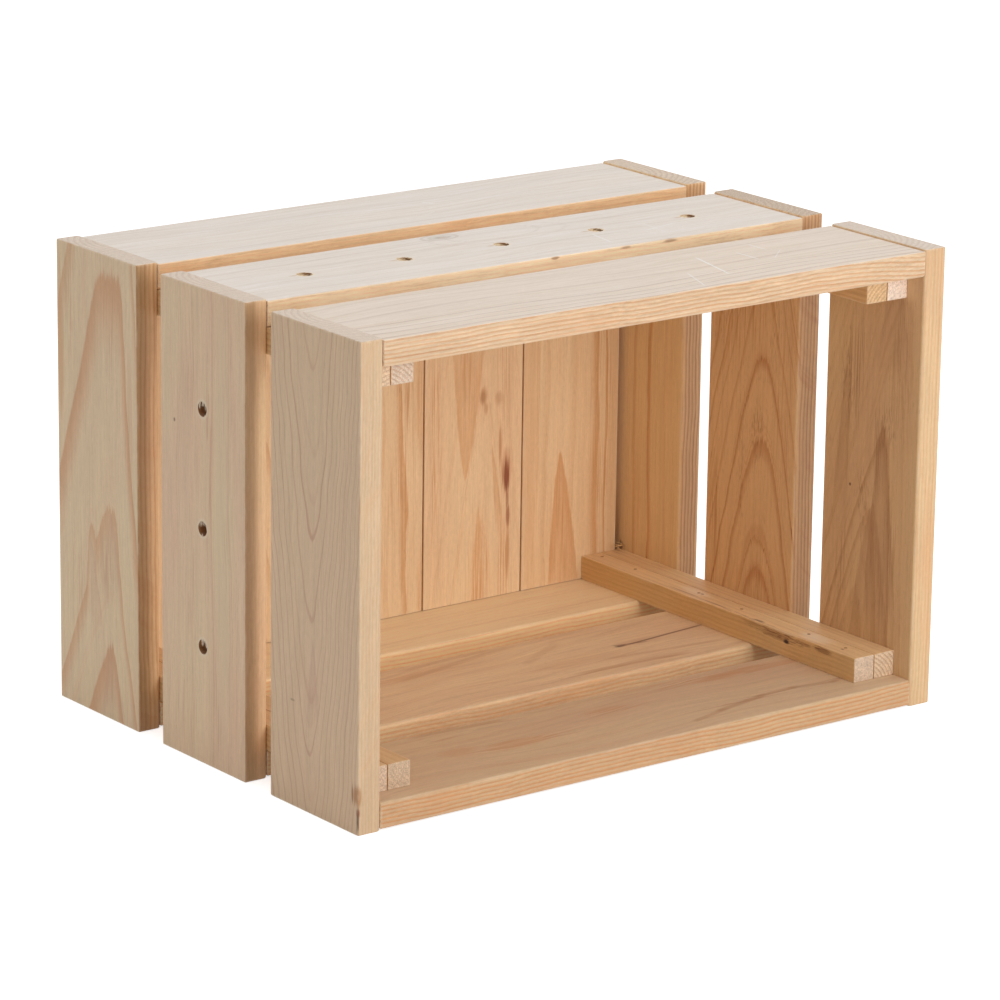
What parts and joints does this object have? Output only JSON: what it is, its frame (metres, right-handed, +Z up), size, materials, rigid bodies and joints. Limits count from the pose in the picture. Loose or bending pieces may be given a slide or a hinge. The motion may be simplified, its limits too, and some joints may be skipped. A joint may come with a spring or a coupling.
{
  "type": "slatted wooden kindling box",
  "caption": "Slatted pine crate for kindling, lying on a long side with its mouth open, built of nailed panels on corner battens and drilled for joining dowels.",
  "frame": {"origin": "middle of the footprint, on the surface the box stands on", "axes": "+X along the long side, to the right seen from the mouth; +Y from the open mouth to the back panel; +Z up"},
  "size_m": [0.384, 0.28, 0.256],
  "materials": {
    "pine_slats": "planed natural pine, unvarnished, pale with fine growth lines",
    "pine_battens": "sawn and planed natural pine, rough end grain",
    "pine_back": "planed natural pine, unvarnished",
    "corner_pins": "turned hardwood pins",
    "nails": "bright wire nails, dulled",
    "screws": "zinc plated countersunk screws with a cross recess"
  },
  "bodies": {
    "root": {"left_board_front": "pine_slats", "left_board_middle": "pine_slats", "left_board_rear": "pine_slats", "right_board_front": "pine_slats", "right_board_middle": "pine_slats", "right_board_rear": "pine_slats", "top_board_front": "pine_slats", "top_board_middle": "pine_slats", "top_board_rear": "pine_slats", "bottom_board_front": "pine_slats", "bottom_board_middle": "pine_slats", "bottom_board_rear": "pine_slats", "left_batten_bottom": "pine_battens", "left_batten_top": "pine_battens", "right_batten_bottom": "pine_battens", "right_batten_top": "pine_battens", "bottom_batten_left": "pine_battens", "bottom_batten_right": "pine_battens", "top_batten_left": "pine_battens", "top_batten_right": "pine_battens", "back_board_1": "pine_back", "back_board_2": "pine_back", "back_board_3": "pine_back", "back_board_4": "pine_back", "back_board_5": "pine_back", "back_rail_lower": "pine_back", "back_rail_upper": "pine_back", "left_panel_nails": "nails", "right_panel_nails": "nails", "top_panel_nails": "nails", "bottom_panel_nails": "nails", "back_panel_nails": "nails", "corner_pins_bottom_left": "corner_pins", "corner_pins_bottom_right": "corner_pins", "corner_pins_top_left": "corner_pins", "corner_pins_top_right": "corner_pins", "back_panel_screws": "screws"}
  },
  "joints": []
}
